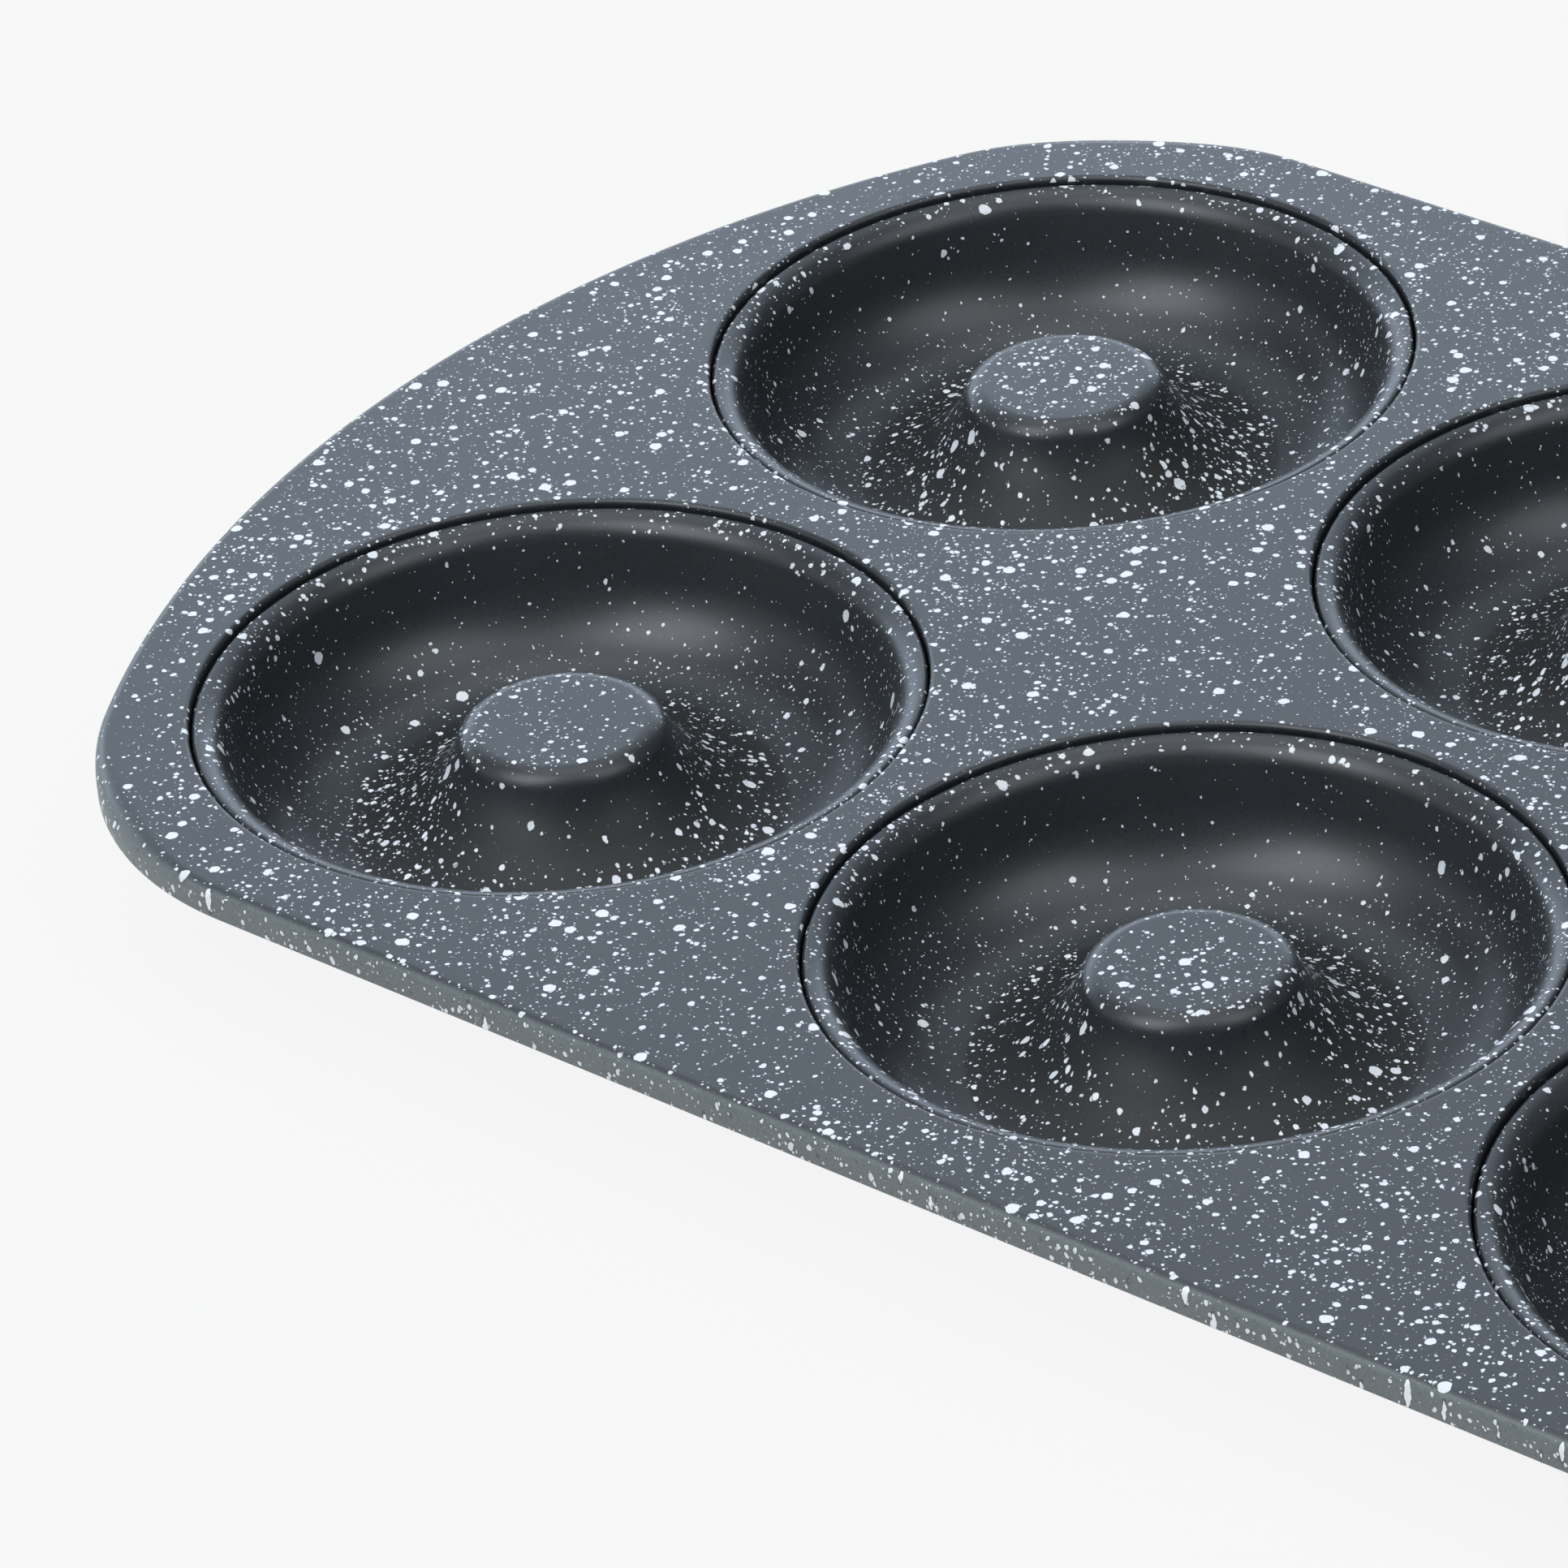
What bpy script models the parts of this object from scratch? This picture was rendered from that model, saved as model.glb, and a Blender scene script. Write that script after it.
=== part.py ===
"""Ring-donut baking pan: a flat sheet-steel frame plate that carries six deep-drawn cups.

Each cup has a hollow centre post and a curled rim. The rim wraps round the hem of a collar that is
rolled down from the plate's hole, so a lock seam holds the cup and leaves a fine crevice round it.
Metres, +Z up. The origin is under the middle of the pan, on the surface that it rests on.
"""

import math

import bmesh
import bpy

# Driving dimensions
SHEET = 0.0006            # sheet thickness of the plate and of the cups
GAP = 0.0003              # clearance between two pieces of the seam
SEAM_RADIUS = 0.0450      # radius of the crevice between a cup and the plate
PITCH_X = 0.0966          # distance between cup centres along the pan
PITCH_Y = 0.0984          # distance between cup centres across the pan
CUP_DEPTH = 0.0172        # from the plate's top face down to the floor of a trough

# Plate outline: two straight long sides, wide arcs at the ends, tight arcs at the corners
PLATE_LENGTH = 0.3270
PLATE_WIDTH = 0.2114
END_RADIUS = 0.1640
CORNER_RADIUS = 0.0458
SKIRT_HEIGHT = 0.0040
SKIRT_BEND = 0.0013       # outer radius of the bend from the top face into the skirt

# Collar round each hole of the plate
LIP_BEND = 0.0012         # outer radius of the bend from the top face into the hole
COLLAR_DEPTH = 0.0043     # from the top face down to the lower face of the hem
HEM_BEND = 0.0009
HEM_REACH = 0.00145       # how far the hem stands out from the collar's inner face

# Cup, seen from above: post, trough, wall and shoulder
POST_TOP_RADIUS = 0.0102
POST_TOP_DROP = 0.0042    # from the plate's top face down to the post's top
POST_EDGE_RADIUS = 0.0030
POST_SLOPE = 71.0         # degrees from the horizontal
FLARE_SLOPE = 14.0        # slope of the post's flared foot where it creases into the trough's floor
TROUGH_RADIUS = 0.0265    # radius of the middle of a trough's floor
TROUGH_FLAT = 0.0018      # width of that floor, the flat ring that the cup rests on
WALL_SLOPE = 74.0
SHOULDER_ROLL = 0.0038    # radius of the convex shoulder
SHOULDER_TILT = 8.0       # slope of the shoulder where it meets the crevice, degrees
SHOULDER_DROP = 0.0011    # from the plate's top face down to the shoulder's outer edge
RIM_EDGE = 0.0006         # rounding where the shoulder turns down into the crevice

STEPS_ROUND = 24          # facets round a cup and round a hole
TOP = CUP_DEPTH + SHEET   # height of the plate's top face

CUP_NAMES = (
    ("cup_front_left", -1, -1),
    ("cup_front_middle", 0, -1),
    ("cup_front_right", 1, -1),
    ("cup_rear_left", -1, 1),
    ("cup_rear_middle", 0, 1),
    ("cup_rear_right", 1, 1),
)


def arc(centre, radius, start, end, steps):
    """Points on an arc of a profile, angles in degrees, both ends included."""
    points = []
    for i in range(steps + 1):
        angle = math.radians(start + (end - start) * i / steps)
        points.append((centre[0] + radius * math.cos(angle), centre[1] + radius * math.sin(angle)))
    return points


def clean_scene():
    for obj in list(bpy.data.objects):
        bpy.data.objects.remove(obj, do_unlink=True)


def coating(name, colour, roughness):
    """Non-stick coating over steel."""
    material = bpy.data.materials.new(name)
    material.use_nodes = True
    shader = material.node_tree.nodes["Principled BSDF"]
    shader.inputs["Base Color"].default_value = (*colour, 1.0)
    shader.inputs["Roughness"].default_value = roughness
    shader.inputs["Metallic"].default_value = 0.0
    material.diffuse_color = (*colour, 1.0)
    return material


def add_shell(obj):
    """Gives an open skin the thickness of the sheet, away from its visible side."""
    shell = obj.modifiers.new("sheet", "SOLIDIFY")
    shell.thickness = SHEET
    shell.offset = -1.0
    shell.use_even_offset = True
    shell.use_rim = True


# Frame plate

def outline(inset):
    """The plate's plan outline moved inwards, counter-clockwise, as (x, y) points."""
    half_length = PLATE_LENGTH / 2
    corner_y = PLATE_WIDTH / 2 - CORNER_RADIUS
    end_x = half_length - END_RADIUS
    corner_x = end_x + math.sqrt((END_RADIUS - CORNER_RADIUS) ** 2 - corner_y**2)
    turn = math.degrees(math.atan2(corner_y, corner_x - end_x))
    end = arc((end_x, 0.0), END_RADIUS - inset, 0.0, turn, 7)
    corner = arc((corner_x, corner_y), CORNER_RADIUS - inset, turn, 90.0, 6)
    quarter = end + corner[1:]
    mirrored_x = [(-x, y) for x, y in reversed(quarter)]
    half = quarter + mirrored_x
    mirrored_y = [(x, -y) for x, y in reversed(half[1:-1])]
    return half + mirrored_y


def circle(centre, radius):
    """Points of a hole's edge, counter-clockwise."""
    points = []
    for i in range(STEPS_ROUND):
        angle = 2 * math.pi * i / STEPS_ROUND
        points.append((centre[0] + radius * math.cos(angle), centre[1] + radius * math.sin(angle)))
    return points


def skirt_profile():
    """(inset, drop) steps from the plate's flat top over the bend and down the skirt."""
    bend = arc((SKIRT_BEND, SKIRT_BEND), SKIRT_BEND, 90.0, 180.0, 2)
    steps = [(x, SKIRT_BEND - (z - SKIRT_BEND)) for x, z in bend]
    return steps + [(0.0, SKIRT_HEIGHT)]


def collar_profile():
    """(radius, drop) steps from the plate's flat top into a hole, down the collar and out to the hem."""
    inner = SEAM_RADIUS + GAP / 2
    lip = arc((inner + LIP_BEND, -LIP_BEND), LIP_BEND, 90.0, 180.0, 2)
    hem = arc((inner + HEM_BEND, HEM_BEND - COLLAR_DEPTH), HEM_BEND, 180.0, 270.0, 2)
    hem.append((inner + HEM_REACH, -COLLAR_DEPTH))
    return [(radius, -z) for radius, z in lip + hem]


def add_ring(bm, points, height):
    return [bm.verts.new((x, y, height)) for x, y in points]


def join_rings(bm, first, second, outwards):
    """Quads between two rings of equal count, with their visible side up or out."""
    count = len(first)
    for i in range(count):
        k = (i + 1) % count
        if outwards:
            bm.faces.new((first[i], second[i], second[k], first[k]))
        else:
            bm.faces.new((first[i], first[k], second[k], second[i]))


def make_plate(collection, material):
    bm = bmesh.new()
    skirt = skirt_profile()
    collar = collar_profile()
    rims = [add_ring(bm, outline(skirt[0][0]), TOP)]
    for _, column, row in CUP_NAMES:
        centre = (column * PITCH_X, row * PITCH_Y / 2)
        rims.append(add_ring(bm, circle(centre, collar[0][0]), TOP))
    edges = []
    for ring in rims:
        for i, vert in enumerate(ring):
            edges.append(bm.edges.new((vert, ring[(i + 1) % len(ring)])))
    bmesh.ops.triangle_fill(bm, edges=edges, use_beauty=True, normal=(0.0, 0.0, 1.0))
    for face in bm.faces:
        if face.normal.z < 0:
            face.normal_flip()

    last = rims[0]
    for inset, drop in skirt[1:]:
        ring = add_ring(bm, outline(inset), TOP - drop)
        join_rings(bm, last, ring, outwards=True)
        last = ring
    for (_, column, row), rim in zip(CUP_NAMES, rims[1:]):
        centre = (column * PITCH_X, row * PITCH_Y / 2)
        last = rim
        for radius, drop in collar[1:]:
            ring = add_ring(bm, circle(centre, radius), TOP - drop)
            join_rings(bm, last, ring, outwards=False)
            last = ring

    mesh = bpy.data.meshes.new("frame_plate")
    bm.to_mesh(mesh)
    bm.free()
    mesh.shade_smooth()
    mesh.set_sharp_from_angle(angle=math.radians(50))
    mesh.materials.append(material)
    plate = bpy.data.objects.new("frame_plate", mesh)
    collection.objects.link(plate)
    add_shell(plate)
    return plate


# Cups

def flare_radius(run, fall):
    """Radius of the hollow curve from the post's wall out to the straight end of its flared foot."""
    steep, gentle = math.radians(POST_SLOPE), math.radians(FLARE_SLOPE)
    turned_run = math.sin(steep) - math.sin(gentle)
    turned_fall = math.cos(gentle) - math.cos(steep)
    return (fall - run * math.tan(gentle)) / (turned_fall - turned_run * math.tan(gentle))


def wall_radius(run, rise):
    """Radius of the hollow curve from the floor up into the straight part of the wall."""
    steep = math.radians(WALL_SLOPE)
    return (run * math.tan(steep) - rise) / (math.sin(steep) * math.tan(steep) - 1 + math.cos(steep))


def post_profile():
    """(radius, height) points from the axis over the post's top to its flared foot's start."""
    post_top = TOP - POST_TOP_DROP
    edge_centre = (POST_TOP_RADIUS, post_top - POST_EDGE_RADIUS)
    return [(0.0, post_top)] + arc(edge_centre, POST_EDGE_RADIUS, 90.0, 90.0 - POST_SLOPE, 2)


def trough_profile(start):
    """Points from the flared foot's start over the trough's floor to the foot of the straight wall."""
    floor = TOP - CUP_DEPTH
    inner_edge = TROUGH_RADIUS - TROUGH_FLAT / 2
    outer_edge = TROUGH_RADIUS + TROUGH_FLAT / 2
    radius = flare_radius(inner_edge - start[0], start[1] - floor)
    steep = math.radians(POST_SLOPE)
    centre = (start[0] + radius * math.sin(steep), start[1] + radius * math.cos(steep))
    points = arc(centre, radius, 270.0 - POST_SLOPE, 270.0 - FLARE_SLOPE, 3)[1:]
    points.append((inner_edge, floor))
    wall_top = arc(shoulder_centre(), SHOULDER_ROLL, 90.0 + WALL_SLOPE, 90.0 + WALL_SLOPE, 1)[0]
    radius = wall_radius(wall_top[0] - outer_edge, wall_top[1] - floor)
    return points + arc((outer_edge, floor + radius), radius, 270.0, 270.0 + WALL_SLOPE, 3)


def cup_profile():
    """(radius, height) points of a cup's visible skin, from its axis out to the end of the curled rim."""
    post = post_profile()
    shoulder = arc(shoulder_centre(), SHOULDER_ROLL, 90.0 + WALL_SLOPE, 90.0 + SHOULDER_TILT, 2)
    return post + trough_profile(post[-1]) + shoulder + rim_profile()


def shoulder_centre():
    """Centre of the shoulder's roll in the profile plane."""
    edge_radius = SEAM_RADIUS - GAP / 2 - RIM_EDGE
    edge_height = TOP - SHOULDER_DROP
    tilt = math.radians(90.0 + SHOULDER_TILT)
    return (edge_radius - SHOULDER_ROLL * math.cos(tilt), edge_height - SHOULDER_ROLL * math.sin(tilt))


def rim_profile():
    """The rim's skin: down into the crevice, under the plate's hem, up past it and back over it."""
    outer = SEAM_RADIUS - GAP / 2
    hem_centre = (SEAM_RADIUS + GAP / 2 + HEM_BEND, TOP - COLLAR_DEPTH + HEM_BEND)
    hem_end = SEAM_RADIUS + GAP / 2 + HEM_REACH
    hem_low = TOP - COLLAR_DEPTH
    hem_high = hem_low + SHEET
    points = [(outer, TOP - SHOULDER_DROP - RIM_EDGE)]
    points += arc(hem_centre, HEM_BEND + GAP, 180.0, 270.0, 2)
    points += [(hem_end + GAP, hem_low - GAP), (hem_end + GAP, hem_high + GAP)]
    points += [(hem_end - SHEET, hem_high + GAP)]
    return points


def make_cup_mesh(material):
    profile = cup_profile()
    bm = bmesh.new()
    verts = [bm.verts.new((radius, 0.0, height)) for radius, height in profile]
    for first, second in zip(verts, verts[1:]):
        bm.edges.new((first, second))
    mesh = bpy.data.meshes.new("donut_cup")
    bm.to_mesh(mesh)
    bm.free()
    mesh.materials.append(material)
    return mesh


def make_cup(name, mesh, column, row, collection):
    """One cup, turned round its own axis and given the sheet's thickness."""
    cup = bpy.data.objects.new(name, mesh)
    collection.objects.link(cup)
    cup.location = (column * PITCH_X, row * PITCH_Y / 2, 0.0)
    turn = cup.modifiers.new("turned", "SCREW")
    turn.axis = "Z"
    turn.angle = 2 * math.pi
    turn.steps = STEPS_ROUND
    turn.render_steps = STEPS_ROUND
    turn.use_merge_vertices = True
    turn.merge_threshold = 0.00001
    turn.use_smooth_shade = True
    add_shell(cup)
    return cup


def main():
    clean_scene()
    collection = bpy.data.collections.new("donut_baking_pan")
    bpy.context.scene.collection.children.link(collection)
    plate_coat = coating("plate_coating", (0.085, 0.093, 0.105), 0.42)
    cup_coat = coating("cup_coating", (0.035, 0.038, 0.043), 0.38)

    plate = make_plate(collection, plate_coat)
    cup_mesh = make_cup_mesh(cup_coat)
    for name, column, row in CUP_NAMES:
        cup = make_cup(name, cup_mesh, column, row, collection)
        cup.parent = plate


main()
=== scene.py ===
"""Looks of the ring-donut baking pan: a spattered non-stick coating over a plate and six deep-drawn cups.

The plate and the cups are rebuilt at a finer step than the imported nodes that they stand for. Places and
overall sizes are read from the frame, and profile sizes are the constants below. Four of them differ a
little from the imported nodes: the lip of each hole is tighter, the skirt's bend is softer in the corners,
the cups' shoulders stand 0.4 mm higher, and their edge is 0.05 mm rounder. Metres, +Z up. The coating's
own numbers are in millimetres.
"""

import math

import bmesh
import bpy
from mathutils import Matrix, Vector


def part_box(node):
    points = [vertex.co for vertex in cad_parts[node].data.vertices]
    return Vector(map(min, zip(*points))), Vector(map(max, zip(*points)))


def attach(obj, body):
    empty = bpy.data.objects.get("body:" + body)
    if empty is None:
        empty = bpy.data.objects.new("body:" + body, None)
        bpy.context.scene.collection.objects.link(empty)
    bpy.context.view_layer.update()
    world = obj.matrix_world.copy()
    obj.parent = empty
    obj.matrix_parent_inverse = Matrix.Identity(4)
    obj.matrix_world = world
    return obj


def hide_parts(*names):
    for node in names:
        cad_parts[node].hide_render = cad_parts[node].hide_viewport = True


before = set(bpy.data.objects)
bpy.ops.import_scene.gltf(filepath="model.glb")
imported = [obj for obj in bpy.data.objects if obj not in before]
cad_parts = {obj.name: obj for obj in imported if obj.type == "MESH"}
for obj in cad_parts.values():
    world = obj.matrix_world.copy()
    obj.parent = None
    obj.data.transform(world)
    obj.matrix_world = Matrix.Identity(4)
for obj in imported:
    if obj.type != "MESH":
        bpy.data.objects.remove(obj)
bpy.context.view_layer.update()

CUP_NAMES = [name for name in sorted(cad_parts) if name.startswith("cup_")]
PLATE_LOW, PLATE_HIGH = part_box("frame_plate")
PLATE_LENGTH = PLATE_HIGH[0] - PLATE_LOW[0]
PLATE_WIDTH = PLATE_HIGH[1] - PLATE_LOW[1]
TOP = PLATE_HIGH[2]       # height of the plate's top face

# Sheet and lock seam
SHEET = 0.0006            # sheet thickness
GAP = 0.0003              # clearance between two pieces of the seam
SEAM_RADIUS = 0.0450      # radius of the crevice between a cup and the plate

# Plate outline and its skirt
END_RADIUS = 0.1640
CORNER_RADIUS = 0.0458
SKIRT_HEIGHT = 0.0040
SKIRT_BEND = 0.0013       # outer radius of the skirt's bend along the straight sides
SOFT_BEND = 0.0030        # outer radius of the same bend in the middle of a corner
EDGE_ROUNDING = 0.00012   # coating rounds the sheet's cut edges

# Collar round each hole of the plate
LIP_BEND = 0.00065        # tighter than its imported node, which has few facets
COLLAR_DEPTH = 0.0043
HEM_BEND = 0.0009
HEM_REACH = 0.00145

# Cup, from its axis outwards
CUP_DEPTH = 0.0172
POST_TOP_RADIUS = 0.0102
POST_TOP_DROP = 0.0042
POST_EDGE_RADIUS = 0.0030
POST_SLOPE = 71.0         # degrees from the horizontal
FLARE_SLOPE = 14.0        # slope of the post's flared foot where it creases into the trough's floor
TROUGH_RADIUS = 0.0265    # radius of the middle of a trough's floor
TROUGH_FLAT = 0.0018      # width of that floor, the flat ring that the cup rests on
WALL_SLOPE = 74.0
SHOULDER_ROLL = 0.0038
SHOULDER_TILT = 8.0
SHOULDER_DROP = 0.0007    # step from the plate's top down to the shoulder's edge
RIM_EDGE = 0.00065

# Where the coating changes, as distances from a cup's axis; the foot of a post also gets painted shade
FOOT_START = 0.0130
FOOT_FULL = 0.0165
WALL_END = 0.0400
RIM_START = 0.0425

# Mesh steps
STEPS_ROUND = 132
END_STEPS = 24            # steps along half of an end of the plate
CORNER_STEPS = 36
SIDE_STEPS = 12           # steps along half of a straight side
BEND_STEPS = 10
SKIRT_STEPS = 3
STEP_LENGTH = 0.0016      # longest step along a straight stretch of a profile
SAME_PLACE = 0.000001     # points nearer than this are one point
FLAT_MARGIN = 0.0003      # narrow flat ring beside each bend, which keeps the flat face's shading flat

# Camera: direction from the target to the camera, in degrees, and the roll about the line of sight
CAMERA_AZIMUTH = 42.51
CAMERA_ELEVATION = 32.12
CAMERA_ROLL = -5.09
CAMERA_TARGET = Vector((-0.0599, -0.0504, TOP))
CAMERA_DISTANCE = 1.1524
CAMERA_LENS = 222.2       # millimetres on a 36 mm sensor

# Finish
GROUND = (0.0150, 0.0175, 0.0205)
COAT_ROUGHNESS = 0.40
COAT_IOR = 1.5
DROP_GLOSS = 0.06         # how much smoother the drops are than the ground
OUTLINE_SHADE = 0.4       # brightness of the line round a drop, as a share of the ground's
ORANGE_PEEL = 0.00001     # height of the coating's ripples in metres

# Light: the panels as (name, azimuth from the camera, elevation, distance, width, height, radiance, colour)
AMBIENT = 0.08
PAPER_WHITE = 0.93
FLOOR_SIZE = 4.0          # half of the light table's width
FLOOR_GREY = 0.03         # its own colour, dark because its light comes from below
FLOOR_GLOW = 0.96
FLOOR_GAP = 0.00005       # hair's breadth under the cups' resting rings
COOL = (0.72, 0.84, 1.0)
PALE = (0.90, 0.95, 1.0)
PANELS = (
    ("left_softbox", -56.0, 52.0, 1.5, 0.80, 1.10, 6.6, PALE),
    ("right_softbox", 58.0, 52.0, 1.5, 0.80, 1.10, 3.3, PALE),
    ("near_high_panel", 0.0, 60.0, 1.6, 0.90, 0.80, 0.30, PALE),
    ("top_panel", 0.0, 80.0, 1.6, 1.2, 1.0, 0.6, PALE),
    ("overhead_panel", 180.0, 74.0, 1.6, 1.0, 0.8, 2.8, PALE),
    ("far_high_panel", 180.0, 46.0, 2.0, 2.4, 1.0, 1.1, COOL),
    ("far_low_panel", 187.0, 16.0, 2.0, 3.4, 0.50, 6.0, COOL),
    ("near_panel", 0.0, 10.0, 2.0, 2.0, 0.5, 0.4, PALE),
    ("left_wall_panel", -90.0, 15.0, 2.0, 2.6, 0.9, 0.9, PALE),
    ("right_wall_panel", 90.0, 12.0, 2.0, 2.0, 0.6, 0.2, PALE),
)


def direction(azimuth, elevation):
    """Unit vector towards a point at this azimuth and elevation; azimuth 0 is -Y and 90 is +X."""
    a, e = math.radians(azimuth), math.radians(elevation)
    return Vector((math.sin(a) * math.cos(e), -math.cos(a) * math.cos(e), math.sin(e)))


# Profiles

def arc(centre, radius, start, end, steps):
    """Points on an arc, angles in degrees, both ends included."""
    points = []
    for i in range(steps + 1):
        angle = math.radians(start + (end - start) * i / steps)
        points.append((centre[0] + radius * math.cos(angle), centre[1] + radius * math.sin(angle)))
    return points


def fine(points):
    """The same profile without doubled points, and with its long straight stretches cut into short steps."""
    result = [points[0]]
    for start, end in zip(points, points[1:]):
        length = math.dist(start, end)
        count = math.ceil(length / STEP_LENGTH) if length > SAME_PLACE else 0
        for i in range(1, count + 1):
            t = i / count
            result.append((start[0] + (end[0] - start[0]) * t, start[1] + (end[1] - start[1]) * t))
    return result


def shoulder_centre():
    """Centre of the shoulder's roll in the profile plane."""
    edge_radius = SEAM_RADIUS - GAP / 2 - RIM_EDGE
    edge_height = TOP - SHOULDER_DROP
    tilt = math.radians(90.0 + SHOULDER_TILT)
    return (edge_radius - SHOULDER_ROLL * math.cos(tilt), edge_height - SHOULDER_ROLL * math.sin(tilt))


def post_profile():
    """(radius, height) points from the axis over the post's top and down its wall."""
    post_top = TOP - POST_TOP_DROP
    points = [(0.0, post_top)]
    points += arc((POST_TOP_RADIUS, post_top - POST_EDGE_RADIUS), POST_EDGE_RADIUS,
                  90.0, 90.0 - POST_SLOPE, 10)
    return points


def flare_radius(run, fall):
    """Radius of the hollow curve from the post's wall out to the straight end of its flared foot."""
    steep, gentle = math.radians(POST_SLOPE), math.radians(FLARE_SLOPE)
    turned_run = math.sin(steep) - math.sin(gentle)
    turned_fall = math.cos(gentle) - math.cos(steep)
    return (fall - run * math.tan(gentle)) / (turned_fall - turned_run * math.tan(gentle))


def wall_radius(run, rise):
    """Radius of the hollow curve from the floor up into the straight part of the wall."""
    steep = math.radians(WALL_SLOPE)
    return (run * math.tan(steep) - rise) / (math.sin(steep) * math.tan(steep) - 1 + math.cos(steep))


def trough_profile(start):
    """Points from the flared foot's start over the trough's floor to the foot of the straight wall."""
    floor = TOP - CUP_DEPTH
    inner_edge = TROUGH_RADIUS - TROUGH_FLAT / 2
    outer_edge = TROUGH_RADIUS + TROUGH_FLAT / 2
    radius = flare_radius(inner_edge - start[0], start[1] - floor)
    steep = math.radians(POST_SLOPE)
    centre = (start[0] + radius * math.sin(steep), start[1] + radius * math.cos(steep))
    points = arc(centre, radius, 270.0 - POST_SLOPE, 270.0 - FLARE_SLOPE, 16)[1:]
    points.append((inner_edge, floor))
    wall_top = arc(shoulder_centre(), SHOULDER_ROLL, 90.0 + WALL_SLOPE, 90.0 + WALL_SLOPE, 1)[0]
    radius = wall_radius(wall_top[0] - outer_edge, wall_top[1] - floor)
    return points + arc((outer_edge, floor + radius), radius, 270.0, 270.0 + WALL_SLOPE, 18)


def rim_profile():
    """From the shoulder's edge down into the crevice, under the plate's hem and back over it."""
    outer = SEAM_RADIUS - GAP / 2
    hem_centre = (SEAM_RADIUS + GAP / 2 + HEM_BEND, TOP - COLLAR_DEPTH + HEM_BEND)
    hem_end = SEAM_RADIUS + GAP / 2 + HEM_REACH
    hem_low = TOP - COLLAR_DEPTH
    hem_high = hem_low + SHEET
    edge_centre = (outer - RIM_EDGE, TOP - SHOULDER_DROP - RIM_EDGE)
    points = arc(edge_centre, RIM_EDGE, 90.0, 0.0, 5)
    points += arc(hem_centre, HEM_BEND + GAP, 180.0, 270.0, 6)
    points += [(hem_end + GAP, hem_low - GAP), (hem_end + GAP, hem_high + GAP)]
    points += [(hem_end - SHEET, hem_high + GAP)]
    return points


def cup_profile():
    """(radius, height) points of a cup's visible skin, from its axis to the end of the curled rim."""
    post = post_profile()
    trough = trough_profile(post[-1])
    shoulder = arc(shoulder_centre(), SHOULDER_ROLL, 90.0 + WALL_SLOPE, 90.0 + SHOULDER_TILT, 14)
    return fine(post + trough + shoulder + rim_profile())


def plate_outline():
    """Points of the plate's outline, counter-clockwise: (place, outward direction, softness of the bend)."""
    corner_y = PLATE_WIDTH / 2 - CORNER_RADIUS
    end_x = PLATE_LENGTH / 2 - END_RADIUS
    corner_x = end_x + math.sqrt((END_RADIUS - CORNER_RADIUS) ** 2 - corner_y**2)
    turn = math.degrees(math.atan2(corner_y, corner_x - end_x))
    quarter = []
    for i in range(END_STEPS):
        angle = math.radians(turn * i / END_STEPS)
        outward = Vector((math.cos(angle), math.sin(angle), 0.0))
        quarter.append((Vector((end_x, 0.0, 0.0)) + outward * END_RADIUS, outward, 0.0))
    for i in range(CORNER_STEPS + 1):
        angle = math.radians(turn + (90.0 - turn) * i / CORNER_STEPS)
        outward = Vector((math.cos(angle), math.sin(angle), 0.0))
        softness = math.sin(math.pi * i / CORNER_STEPS) ** 2
        quarter.append((Vector((corner_x, corner_y, 0.0)) + outward * CORNER_RADIUS, outward, softness))
    for i in range(1, SIDE_STEPS + 1):
        side = Vector((corner_x * (1 - i / SIDE_STEPS), PLATE_WIDTH / 2, 0.0))
        quarter.append((side, Vector((0.0, 1.0, 0.0)), 0.0))

    def mirrored(part, x, y):
        flip = Vector((x, y, 1.0))
        return [(place * flip, outward * flip, softness) for place, outward, softness in part]

    half = quarter + mirrored(reversed(quarter[:-1]), -1.0, 1.0)
    return half + mirrored(reversed(half[1:-1]), 1.0, -1.0)


def collar_profile():
    """(radius, drop) steps from the plate's flat top into a hole, down the collar and out to the hem."""
    inner = SEAM_RADIUS + GAP / 2
    lip = arc((inner + LIP_BEND, -LIP_BEND), LIP_BEND, 90.0, 180.0, 8)
    hem = arc((inner + HEM_BEND, HEM_BEND - COLLAR_DEPTH), HEM_BEND, 180.0, 270.0, 6)
    hem.append((inner + HEM_REACH, -COLLAR_DEPTH))
    return [(radius, -height) for radius, height in fine(lip + hem)]


# Meshes

def between(value, start, end):
    """How far a value has come from start (0) to end (1)."""
    return min(1.0, max(0.0, (value - start) / (end - start)))


def circle(bm, centre, radius, height):
    """A ring of points round a vertical axis, counter-clockwise."""
    ring = []
    for i in range(STEPS_ROUND):
        angle = 2 * math.pi * i / STEPS_ROUND
        ring.append(bm.verts.new((centre[0] + radius * math.cos(angle),
                                  centre[1] + radius * math.sin(angle), height)))
    return ring


def bridge(bm, inner, outer):
    """Quads between two rings, with their visible side up or outwards."""
    for i in range(len(inner)):
        k = (i + 1) % len(inner)
        bm.faces.new((inner[i], outer[i], outer[k], inner[k]))


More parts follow.
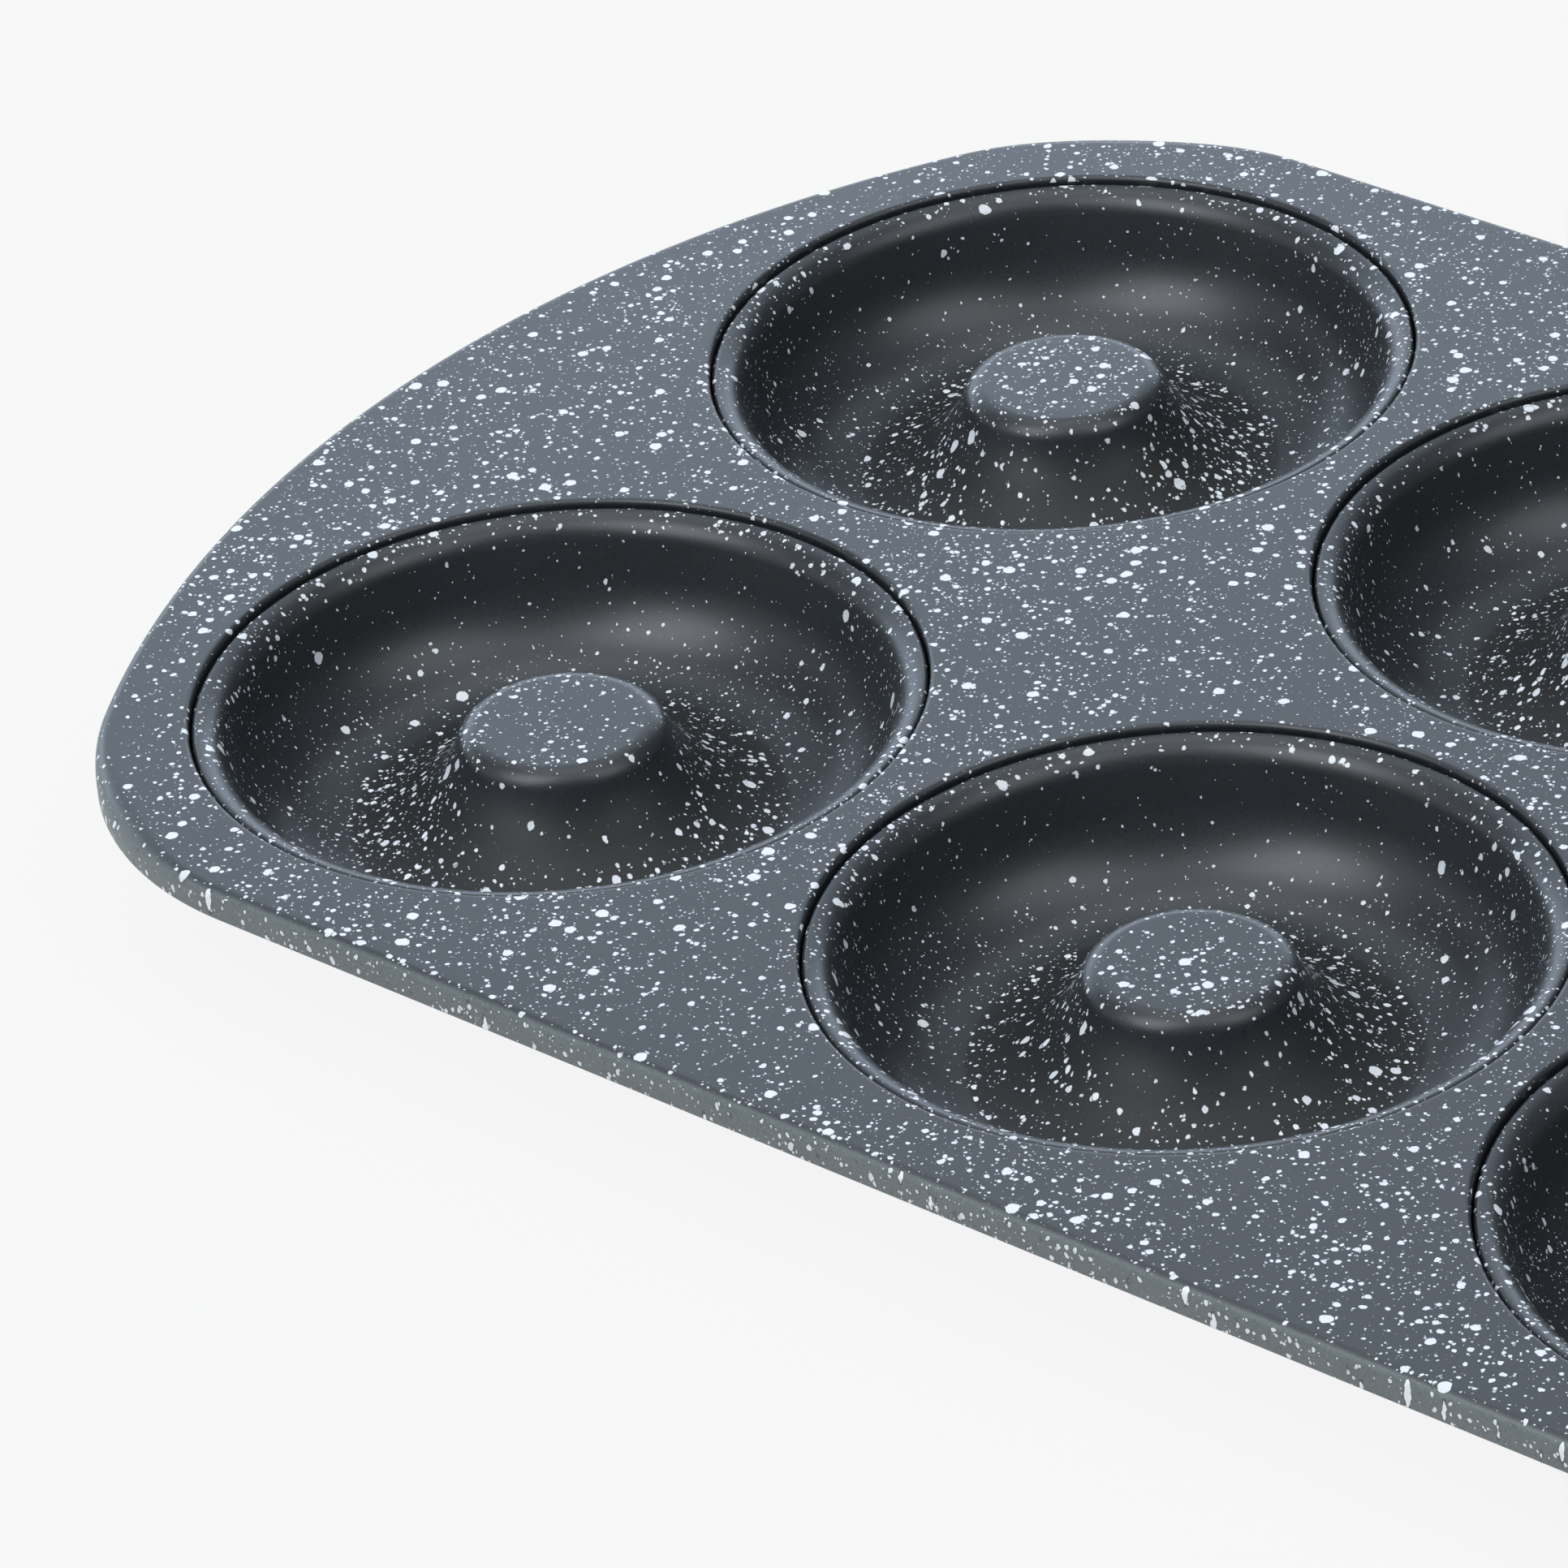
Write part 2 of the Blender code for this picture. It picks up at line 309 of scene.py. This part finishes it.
def sheet_piece(name, bm, material, node):
    """Turns an open skin into a coated sheet of real thickness that stands for a CAD node."""
    mesh = bpy.data.meshes.new(name)
    bm.to_mesh(mesh)
    bm.free()
    piece = bpy.data.objects.new(name, mesh)
    bpy.context.scene.collection.objects.link(piece)
    shell = piece.modifiers.new("sheet", "SOLIDIFY")
    shell.thickness = SHEET
    shell.offset = -1.0
    shell.use_even_offset = True
    edges = piece.modifiers.new("coated_edges", "BEVEL")
    edges.limit_method = "ANGLE"
    edges.angle_limit = math.radians(60)
    edges.width = EDGE_ROUNDING
    edges.segments = 2
    depsgraph = bpy.context.evaluated_depsgraph_get()
    solid = bpy.data.meshes.new_from_object(piece.evaluated_get(depsgraph))
    piece.modifiers.clear()
    piece.data = solid
    solid.name = name
    solid.shade_smooth()
    solid.materials.clear()
    solid.materials.append(material)
    normals = piece.modifiers.new("flat_faces_stay_flat", "WEIGHTED_NORMAL")
    normals.keep_sharp = True
    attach(piece, "root")
    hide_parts(node)
    return piece


def make_cup(node, material):
    """One cup, turned round its own axis."""
    low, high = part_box(node)
    centre = ((low[0] + high[0]) / 2, (low[1] + high[1]) / 2)
    profile = cup_profile()
    bm = bmesh.new()
    on_foot = bm.verts.layers.float.new("on_foot")
    in_bowl = bm.verts.layers.float.new("in_bowl")
    tip = bm.verts.new((centre[0], centre[1], profile[0][1]))
    ring = circle(bm, centre, *profile[1])
    for i in range(STEPS_ROUND):
        bm.faces.new((tip, ring[i], ring[(i + 1) % STEPS_ROUND]))
    for radius, height in profile[2:]:
        outer = circle(bm, centre, radius, height)
        bridge(bm, ring, outer)
        ring = outer
        for vert in ring:
            vert[on_foot] = between(radius, FOOT_START, FOOT_FULL) * (radius < TROUGH_RADIUS)
            vert[in_bowl] = (radius > TROUGH_RADIUS) * between(radius, RIM_START, WALL_END)
    return sheet_piece(f"{node}_coated", bm, material, node)


def skirt_ring(bm, outline, inset_of, height_of, share):
    """A ring that follows the outline; its inset and its depth depend on the bend's radius at each point."""
    on_skirt = bm.verts.layers.float["on_skirt"]
    ring = []
    for place, outward, softness in outline:
        bend = SKIRT_BEND + (SOFT_BEND - SKIRT_BEND) * softness
        point = place - outward * inset_of(bend)
        vert = bm.verts.new((point.x, point.y, TOP - height_of(bend)))
        vert[on_skirt] = share
        ring.append(vert)
    return ring


def make_skirt(bm):
    """The turned-down rim; returns the ring where the flat face ends."""
    outline = plate_outline()
    outer_flat = skirt_ring(bm, outline, lambda bend: bend + FLAT_MARGIN, lambda bend: 0.0, 0.0)
    ring = outer_flat
    for i in range(BEND_STEPS + 1):
        turn = math.pi / 2 * i / BEND_STEPS
        low = skirt_ring(bm, outline, lambda bend: bend * (1 - math.sin(turn)),
                         lambda bend: bend * (1 - math.cos(turn)), i / BEND_STEPS)
        bridge(bm, ring, low)
        ring = low
    for i in range(1, SKIRT_STEPS + 1):
        down = i / SKIRT_STEPS
        low = skirt_ring(bm, outline, lambda bend: 0.0,
                         lambda bend: bend + (SKIRT_HEIGHT - bend) * down, 1.0)
        bridge(bm, ring, low)
        ring = low
    return outer_flat


def make_collar(bm, node, collar):
    """The collar round one cup's hole; returns the ring where the flat face ends."""
    low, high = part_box(node)
    centre = ((low[0] + high[0]) / 2, (low[1] + high[1]) / 2)
    ring = circle(bm, centre, collar[0][0] + FLAT_MARGIN, TOP)
    border = ring
    for radius, drop in collar:
        inner = circle(bm, centre, radius, TOP - drop)
        bridge(bm, inner, ring)
        ring = inner
    return border


def make_plate(material):
    """The plate: a flat face with six holes, the skirt round it and a collar in each hole."""
    bm = bmesh.new()
    bm.verts.layers.float.new("on_skirt")
    borders = [make_skirt(bm)]
    collar = collar_profile()
    for node in CUP_NAMES:
        borders.append(make_collar(bm, node, collar))
    edges = []
    for border in borders:
        for i, vert in enumerate(border):
            edges.append(bm.edges.get((vert, border[(i + 1) % len(border)])))
    filled = bmesh.ops.triangle_fill(bm, edges=edges, use_beauty=True, normal=(0.0, 0.0, 1.0))
    for face in filled["geom"]:
        if isinstance(face, bmesh.types.BMFace) and face.normal.z < 0:
            face.normal_flip()
    return sheet_piece("frame_plate_coated", bm, material, "frame_plate")


# Coating

class Graph:
    """Short calls for building one material's nodes."""

    def __init__(self, tree):
        self.tree = tree
        tree.nodes.clear()

    def node(self, kind, inputs, **settings):
        node = self.tree.nodes.new(kind)
        for key, value in settings.items():
            setattr(node, key, value)
        for key, value in inputs.items():
            if isinstance(value, bpy.types.NodeSocket):
                self.tree.links.new(value, node.inputs[key])
            else:
                node.inputs[key].default_value = value
        return node

    def math(self, operation, a, b):
        return self.node("ShaderNodeMath", {0: a, 1: b}, operation=operation).outputs[0]

    def vector(self, operation, a, b):
        node = self.node("ShaderNodeVectorMath", {0: a, 1: b}, operation=operation)
        return node.outputs["Value" if operation == "DOT_PRODUCT" else "Vector"]

    def step(self, value, low, high, low_value=0.0, high_value=1.0):
        """A smooth step from low_value at low to high_value at high."""
        return self.node("ShaderNodeMapRange", {"Value": value, "From Min": low, "From Max": high,
                                                "To Min": low_value, "To Max": high_value},
                         interpolation_type="SMOOTHSTEP").outputs["Result"]

    def noise(self, place, scale, detail, roughness):
        return self.node("ShaderNodeTexNoise", {"Vector": place, "Scale": scale, "Detail": detail,
                                                "Roughness": roughness})

    def mix(self, factor, a, b):
        return self.node("ShaderNodeMix", {0: factor, 6: a, 7: b}, data_type="RGBA").outputs[2]


MM_PER_METRE = 1000.0

# Drops of the spatter, smallest first, in millimetres: cell size, smallest and largest radius, share of
# the cells that hold a drop, width of a drop's soft edge, stretch along Z as a factor, and colour
DROPS = (
    {"cell": 0.60, "radius": (0.07, 0.14), "share": 0.48, "edge": 0.05, "tall": 1.0,
     "colour": (0.64, 0.66, 0.69)},
    {"cell": 0.80, "radius": (0.11, 0.21), "share": 0.62, "edge": 0.06, "tall": 1.2,
     "colour": (0.60, 0.62, 0.65)},
    {"cell": 1.15, "radius": (0.20, 0.35), "share": 0.58, "edge": 0.07, "tall": 1.3,
     "colour": (0.64, 0.66, 0.69)},
    {"cell": 1.70, "radius": (0.33, 0.50), "share": 0.44, "edge": 0.08, "tall": 1.4,
     "colour": (0.62, 0.64, 0.67)},
    {"cell": 2.60, "radius": (0.50, 0.88), "share": 0.30, "edge": 0.09, "tall": 1.4,
     "colour": (0.63, 0.65, 0.68)},
)

# Long spatter drops, drawn out along Z; they are real drops, and their extra paleness over the other drops
# is painted light for the shaded foot of the posts where most of them lie
STREAKS = {"cell": 1.90, "radius": (0.18, 0.52), "share": 0.80, "edge": 0.07, "tall": 4.5,
           "colour": (0.74, 0.76, 0.79)}
DUST_LAYERS = 2                                # this many of the smallest sizes reach deep into the bowls
BOWL_CATCH = 0.30                              # share of the other drops that a bowl caught
FOOT_DULLNESS = 0.22                           # extra roughness of the foot of a post
FOOT_PAINTED_SHADE = 0.25                              # painted shade: brightness of the ground there, as a share
SHADED_CATCH = 0.30                            # share of the spatter on steep shaded faces
SKIRT_LIFT = 0.22                              # lets the upright skirt count as an open face
CLOUD_SCALE = 0.035                            # noise scales per millimetre: thick and thin spatter
MOTTLE_SCALE = 0.09                            # slow changes of the ground's shade
GRAIN_SCALE = 3.2                              # fine grain of the ground
RIPPLE_SCALE = 1.3                             # orange peel
RAGGED = ((0.9, 0.62), (3.4, 0.20))            # scale and reach of the noises that shift drop edges
SKIRT_PAINTED_LIGHT = (0.106, 0.125, 0.131)             # painted light: the paler ground of the skirt and its bend
SKIRT_STREAKS = 0.5                            # share of the streaks that reach the skirt
SPRAY_SHADE = direction(42.5, 0.0)             # steep faces turned this way caught less of the spatter


def painted(g, name):
    """A value that the mesh carries from point to point."""
    return g.node("ShaderNodeAttribute", {}, attribute_name=name).outputs["Fac"]


def spatter_density(g, place, up, facing):
    """How much spatter a point caught: 0 underneath, 1 on open faces, less on steep shaded faces."""
    on_skirt = painted(g, "on_skirt")
    lit = g.step(g.math("ADD", up, g.math("MULTIPLY", on_skirt, SKIRT_LIFT)), 0.0, 0.20)
    shaded = g.math("MAXIMUM", g.step(facing, 0.15, 0.80, 1.0, SHADED_CATCH), on_skirt)
    clouds = g.step(g.noise(place, CLOUD_SCALE, 3.0, 0.55).outputs["Fac"], 0.30, 0.72, 0.75, 1.30)
    return g.math("MULTIPLY", g.math("MULTIPLY", lit, shaded), clouds)


def drops(g, place, density, layer, number):
    """Masks of one layer of drops: the drop itself, and the thin shaded line round it."""
    stretched = g.vector("MULTIPLY", place, (1.0, 1.0, 1.0 / layer["tall"]))
    shifted = g.vector("ADD", stretched, (31.7 * number, 17.3 * number, 5.9 * number))
    cells = g.node("ShaderNodeTexVoronoi", {"Vector": shifted, "Scale": 1.0 / layer["cell"]},
                   voronoi_dimensions="3D", feature="F1")
    distance = g.math("MULTIPLY", cells.outputs["Distance"], layer["cell"])
    chance = g.node("ShaderNodeSeparateColor", {0: cells.outputs["Color"]})
    low, high = layer["radius"]
    radius = g.math("ADD", g.math("MULTIPLY", chance.outputs["Red"], high - low), low)
    room = g.math("SUBTRACT", g.math("MULTIPLY", density, layer["share"]), chance.outputs["Green"])
    held = g.step(room, 0.0, 0.04)
    inside = g.math("SUBTRACT", g.math("MULTIPLY", radius, held), distance)
    drop = g.step(inside, 0.0, layer["edge"])
    line = g.step(inside, -0.10, -0.01)
    return drop, g.math("MULTIPLY", line, held)


def ragged_place(g, place):
    """The place shifted by two sizes of noise, which makes the edges of the drops uneven."""
    for scale, reach in RAGGED:
        wobble = g.vector("SUBTRACT", g.noise(place, scale, 1.0, 0.5).outputs["Color"], (0.5, 0.5, 0.5))
        place = g.vector("ADD", place, g.vector("MULTIPLY", wobble, (reach, reach, reach)))
    return place


def make_ground(g, place, base, grain):
    """Colour of the coating between the drops, with painted light on the skirt and painted shade on the foot
    of a post.
    """
    mottle = g.noise(place, MOTTLE_SCALE, 3.0, 0.5).outputs["Fac"]
    shade = g.math("ADD", g.step(grain, 0.25, 0.75, 0.80, 1.20), g.step(mottle, 0.3, 0.7, -0.06, 0.06))
    # Painted shade: the ground over the flared foot of each post is darkened.
    shade = g.math("MULTIPLY", shade, g.step(painted(g, "on_foot"), 0.0, 1.0, 1.0, FOOT_PAINTED_SHADE))
    # Painted light: the skirt and its bend get a paler ground, in place of the light that they catch.
    ground_with_skirt_light = g.mix(g.step(painted(g, "on_skirt"), 0.1, 0.7), (*base, 1.0), (*SKIRT_PAINTED_LIGHT, 1.0))
    return g.node("ShaderNodeMix", {0: 1.0, 6: ground_with_skirt_light, 7: shade}, data_type="RGBA",
                  blend_type="MULTIPLY").outputs[2]


def spatter_layers(g, density, facing):
    """Each layer of drops with its density from point to point."""
    sheltered = g.math("MULTIPLY", painted(g, "in_bowl"), g.step(facing, -0.45, -0.15))
    catch = g.step(sheltered, 0.0, 1.0, 1.0, BOWL_CATCH)
    sparse = g.math("MULTIPLY", density, catch)
    layers = [(layer, density) for layer in DROPS[:DUST_LAYERS]]
    layers += [(layer, sparse) for layer in DROPS[DUST_LAYERS:]]
    skirt_share = g.math("MULTIPLY", painted(g, "on_skirt"), SKIRT_STREAKS)
    streaked = g.math("MAXIMUM", painted(g, "on_foot"), skirt_share)
    layers.append((STREAKS, g.math("MULTIPLY", density, streaked)))
    return layers


def make_coating(name, base, roughness):
    """Spattered stone-effect coating: satin dark ground with pale drops of many sizes."""
    material = bpy.data.materials.new(name)
    material.use_nodes = True
    g = Graph(material.node_tree)
    object_place = g.node("ShaderNodeTexCoord", {}).outputs["Object"]
    place = g.vector("MULTIPLY", object_place, (MM_PER_METRE, MM_PER_METRE, MM_PER_METRE))
    normal = g.node("ShaderNodeNewGeometry", {}).outputs["Normal"]
    up = g.node("ShaderNodeSeparateXYZ", {0: normal}).outputs["Z"]
    ragged = ragged_place(g, place)
    facing = g.vector("DOT_PRODUCT", normal, tuple(SPRAY_SHADE))
    density = spatter_density(g, place, up, facing)
    grain = g.noise(place, GRAIN_SCALE, 3.0, 0.65).outputs["Fac"]

    colour = make_ground(g, place, base, grain)
    outline = (base[0] * OUTLINE_SHADE, base[1] * OUTLINE_SHADE, base[2] * OUTLINE_SHADE, 1.0)
    fleck = g.step(grain, 0.2, 0.8, 0.86, 1.0)
    cover = 0.0
    for number, (layer, amount) in enumerate(spatter_layers(g, density, facing)):
        drop, line = drops(g, ragged, amount, layer, number + 1)
        colour = g.mix(g.math("MULTIPLY", line, min(0.6, 0.2 * number)), colour, outline)
        colour = g.mix(g.math("MULTIPLY", drop, fleck), colour, (*layer["colour"], 1.0))
        cover = g.math("MAXIMUM", cover, drop)

    satin = g.step(grain, 0.2, 0.8, roughness - 0.04, roughness + 0.05)
    satin = g.math("ADD", satin, g.math("MULTIPLY", painted(g, "on_foot"), FOOT_DULLNESS))
    gloss = g.node("ShaderNodeMix", {0: cover, 2: satin, 3: roughness - DROP_GLOSS}).outputs[0]
    orange_peel = g.noise(place, RIPPLE_SCALE, 2.0, 0.5).outputs["Fac"]
    bump = g.node("ShaderNodeBump", {"Strength": 0.5, "Distance": ORANGE_PEEL, "Height": orange_peel})
    shader = g.node("ShaderNodeBsdfPrincipled", {"Base Color": colour, "Roughness": gloss,
                                                 "Normal": bump.outputs["Normal"], "IOR": COAT_IOR})
    g.node("ShaderNodeOutputMaterial", {"Surface": shader.outputs["BSDF"]})
    return material


# Studio

def make_floor():
    """Light table: a pale sheet that is lit from below, so shadows on it are faint."""
    bm = bmesh.new()
    bmesh.ops.create_grid(bm, x_segments=8, y_segments=8, size=FLOOR_SIZE)
    mesh = bpy.data.meshes.new("floor")
    bm.to_mesh(mesh)
    bm.free()
    floor = bpy.data.objects.new("floor", mesh)
    bpy.context.scene.collection.objects.link(floor)
    material = bpy.data.materials.new("light_table")
    material.use_nodes = True
    g = Graph(material.node_tree)
    paper = (PAPER_WHITE, PAPER_WHITE, PAPER_WHITE, 1.0)
    shader = g.node("ShaderNodeBsdfPrincipled", {"Base Color": (FLOOR_GREY, FLOOR_GREY, FLOOR_GREY, 1.0),
                                                 "Roughness": 1.0, "Specular IOR Level": 0.0,
                                                 "Emission Color": paper, "Emission Strength": FLOOR_GLOW})
    g.node("ShaderNodeOutputMaterial", {"Surface": shader.outputs["BSDF"]})
    mesh.materials.append(material)
    floor.location.z = -FLOOR_GAP


def make_surroundings():
    """Dim studio walls; the camera itself sees them as pale as the light table."""
    world = bpy.data.worlds.new("studio")
    bpy.context.scene.world = world
    world.use_nodes = True
    g = Graph(world.node_tree)
    seen = g.node("ShaderNodeLightPath", {}).outputs["Is Camera Ray"]
    shown = g.node("ShaderNodeMix", {0: seen, 2: AMBIENT, 3: PAPER_WHITE}).outputs[0]
    light = g.node("ShaderNodeBackground", {"Color": (1.0, 1.0, 1.0, 1.0), "Strength": shown})
    g.node("ShaderNodeOutputWorld", {"Surface": light.outputs[0]})


def make_panel(name, azimuth, elevation, distance, width, height, radiance, tint):
    """Rectangular light panel aimed at the pan; azimuth is counted from the camera's own."""
    light = bpy.data.lights.new(name, "AREA")
    light.shape = "RECTANGLE"
    light.size = width
    light.size_y = height
    light.energy = radiance * math.pi * width * height
    light.color = tint
    way = direction(CAMERA_AZIMUTH + azimuth, elevation)
    across = Vector((0.0, 0.0, 1.0)).cross(way).normalized()
    turned = Matrix((across, way.cross(across), way)).transposed().to_4x4()
    turned.translation = CAMERA_TARGET + way * distance
    panel = bpy.data.objects.new(name, light)
    panel.matrix_world = turned
    bpy.context.scene.collection.objects.link(panel)


def make_camera():
    back = direction(CAMERA_AZIMUTH, CAMERA_ELEVATION)
    right = (-back).cross(Vector((0.0, 0.0, 1.0))).normalized()
    up = right.cross(-back)
    c, s = math.cos(math.radians(CAMERA_ROLL)), math.sin(math.radians(CAMERA_ROLL))
    across, upright = right * c + up * s, up * c - right * s
    data = bpy.data.cameras.new("camera")
    data.lens = CAMERA_LENS
    data.sensor_width = 36.0
    data.clip_start = 0.05
    camera = bpy.data.objects.new("camera", data)
    turned = Matrix((across, upright, back)).transposed().to_4x4()
    turned.translation = CAMERA_TARGET + back * CAMERA_DISTANCE
    camera.matrix_world = turned
    bpy.context.scene.collection.objects.link(camera)
    bpy.context.scene.camera = camera


plate_coating = make_coating("plate_coating", GROUND, COAT_ROUGHNESS)
cup_coating = make_coating("cup_coating", GROUND, COAT_ROUGHNESS)
make_plate(plate_coating)
for cup_name in CUP_NAMES:
    make_cup(cup_name, cup_coating)
make_floor()
make_surroundings()
for panel_row in PANELS:
    make_panel(*panel_row)
make_camera()
bpy.context.scene.view_settings.view_transform = "Standard"
